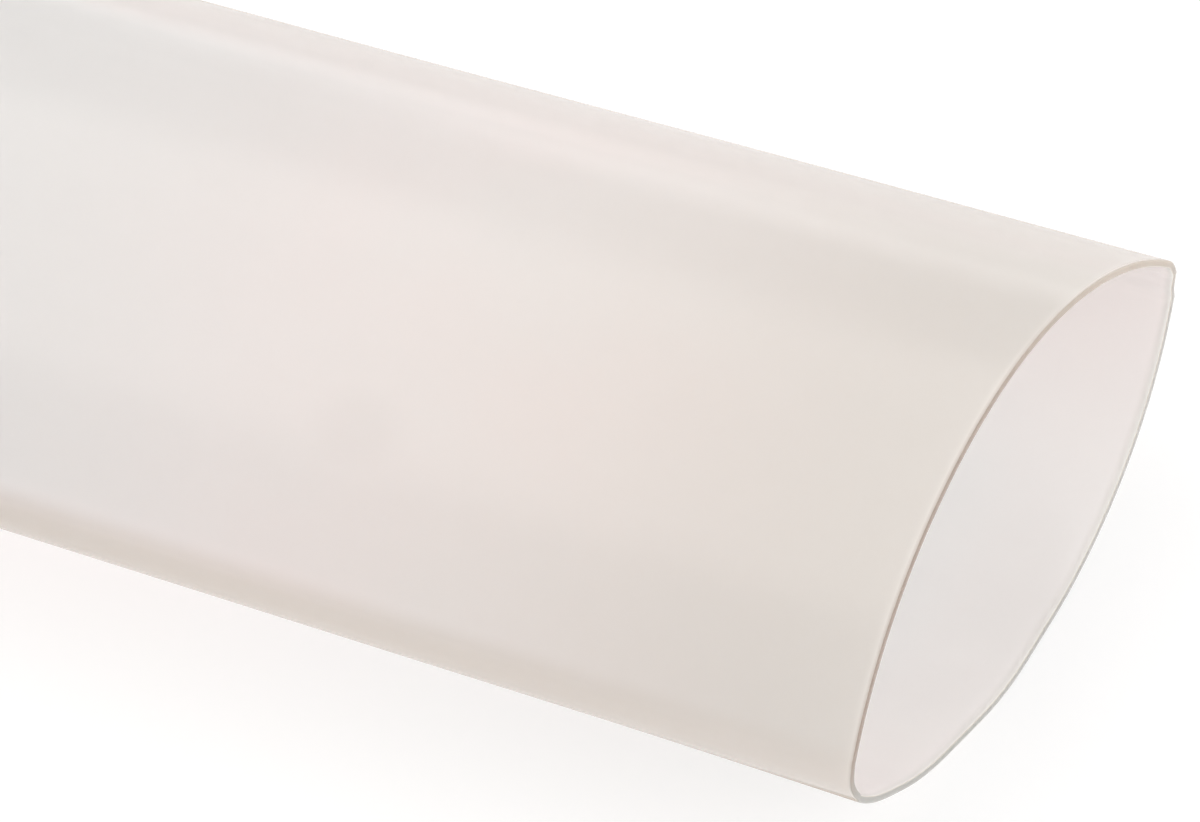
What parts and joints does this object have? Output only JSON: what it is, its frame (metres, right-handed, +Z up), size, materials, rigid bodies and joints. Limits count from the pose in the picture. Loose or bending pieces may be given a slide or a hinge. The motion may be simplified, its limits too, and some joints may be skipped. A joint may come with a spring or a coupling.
{
  "type": "heat shrink tube",
  "caption": "Straight, thin-walled, milky clear heat shrink tube as supplied, sprung open from flat to a lens-shaped section with rounded creases and square-cut ends.",
  "frame": {"origin": "middle of the strip that the tube rests on, half way along its length, on the floor", "axes": "+X along the tube, towards the mouth that the picture shows; +Y across the wide side, from crease to crease; +Z up"},
  "size_m": [1.22, 0.052, 0.0263],
  "materials": {
    "natural_polyolefin": "natural, milky translucent, smooth extruded, soft gloss"
  },
  "bodies": {
    "root": {"heat_shrink_tube": "natural_polyolefin"}
  },
  "joints": []
}
